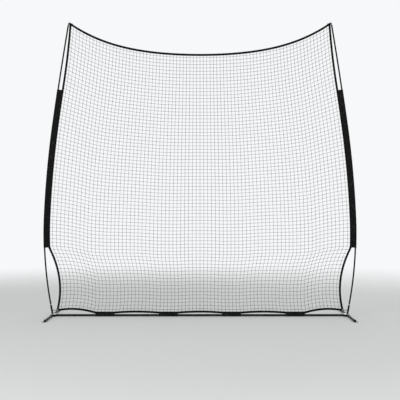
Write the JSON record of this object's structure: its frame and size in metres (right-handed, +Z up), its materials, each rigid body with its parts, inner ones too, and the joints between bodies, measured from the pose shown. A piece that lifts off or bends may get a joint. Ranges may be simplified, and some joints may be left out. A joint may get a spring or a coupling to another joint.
{
  "type": "ball stop net",
  "caption": "Free-standing sports barrier net on two bowed poles, with a ground bar, angled pole sockets and folding legs with peg holes.",
  "frame": {"origin": "on the ground, midway between the two feet and between the front and back legs", "axes": "+X across the net to the right as seen from the front, +Y from the front to the back, +Z up"},
  "size_m": [3.7138, 1.136, 3.5001],
  "materials": {
    "black_steel": "black powder coat, satin",
    "zinc_steel": "bright zinc plate",
    "aluminium": "turned, satin",
    "black_plastic": "moulded nylon",
    "black_rubber": "moulded, fine grain",
    "black_fibreglass": "pultruded fibreglass, semi-gloss",
    "elastic_cord": "braided elastic cord",
    "black_polyester": "smooth woven polyester, slight sheen",
    "black_webbing": "woven polyester webbing",
    "black_twine": "knotted polyethylene twine"
  },
  "bodies": {
    "stand": {"base_tube_centre": "black_steel", "base_tube_left": "black_steel", "base_tube_right": "black_steel", "tube_spigot_left": "zinc_steel", "tube_spigot_right": "zinc_steel", "blind_rivets": "zinc_steel", "button_spring_left": "zinc_steel", "button_spring_right": "zinc_steel", "foot_bracket_left": "zinc_steel", "foot_bracket_right": "zinc_steel", "pole_socket_left": "black_steel", "pole_socket_right": "black_steel", "net_hook_left": "zinc_steel", "net_hook_right": "zinc_steel", "pivot_rivets_left": "zinc_steel", "pivot_rivets_right": "zinc_steel", "pole_lower_left": "black_fibreglass", "pole_lower_right": "black_fibreglass", "pole_middle_left": "black_fibreglass", "pole_middle_right": "black_fibreglass", "pole_upper_left": "black_fibreglass", "pole_upper_right": "black_fibreglass", "pole_ferrules_left": "aluminium", "pole_ferrules_right": "aluminium", "pole_foot_left": "aluminium", "pole_foot_right": "aluminium", "tip_pin_left": "aluminium", "tip_pin_right": "aluminium", "shock_cord_left": "elastic_cord", "shock_cord_right": "elastic_cord", "pole_sleeve_left": "black_polyester", "pole_sleeve_right": "black_polyester", "border_top": "black_webbing", "border_bottom": "black_webbing", "border_left": "black_webbing", "border_right": "black_webbing", "net": "black_twine", "base_pockets_left": "black_polyester", "base_pockets_right": "black_polyester", "corner_loop_left": "black_webbing", "corner_loop_right": "black_webbing", "corner_patches": "black_webbing", "eyelets": "zinc_steel", "elastic_loop_left": "elastic_cord", "elastic_loop_right": "elastic_cord"},
    "button_left": {"snap_button_left": "zinc_steel"},
    "button_right": {"snap_button_right": "zinc_steel"},
    "leg_front_left": {"leg_front_left": "black_steel", "leg_plug_front_left": "black_plastic", "foot_front_left": "black_rubber"},
    "leg_front_right": {"leg_front_right": "black_steel", "leg_plug_front_right": "black_plastic", "foot_front_right": "black_rubber"},
    "leg_back_left": {"leg_back_left": "black_steel", "leg_plug_back_left": "black_plastic", "foot_back_left": "black_rubber"},
    "leg_back_right": {"leg_back_right": "black_steel", "leg_plug_back_right": "black_plastic", "foot_back_right": "black_rubber"}
  },
  "joints": [
    {"name": "front_left_leg_fold", "type": "hinge", "parent": "stand", "child": "leg_front_left", "pos_m": [-1.748, -0.03401, 0.0155], "axis": [0, 0, 1], "range_deg": [0, 90]},
    {"name": "back_left_leg_fold", "type": "hinge", "parent": "stand", "child": "leg_back_left", "pos_m": [-1.748, 0.03401, 0.0155], "axis": [0, 0, -1], "range_deg": [0, 90]},
    {"name": "left_button_press", "type": "slide", "parent": "stand", "child": "button_left", "axis": [0, 0, -1], "range_m": [0, 0.0037], "stiffness_N_per_m": 1500, "springref_m": -0.002, "deforming": ["button_spring_left"]},
    {"name": "front_right_leg_fold", "type": "hinge", "parent": "stand", "child": "leg_front_right", "pos_m": [1.748, -0.03401, 0.0155], "axis": [0, 0, -1], "range_deg": [0, 90]},
    {"name": "back_right_leg_fold", "type": "hinge", "parent": "stand", "child": "leg_back_right", "pos_m": [1.748, 0.03401, 0.0155], "axis": [0, 0, 1], "range_deg": [0, 90]},
    {"name": "right_button_press", "type": "slide", "parent": "stand", "child": "button_right", "axis": [0, 0, -1], "range_m": [0, 0.0037], "stiffness_N_per_m": 1500, "springref_m": -0.002, "deforming": ["button_spring_right"]}
  ]
}
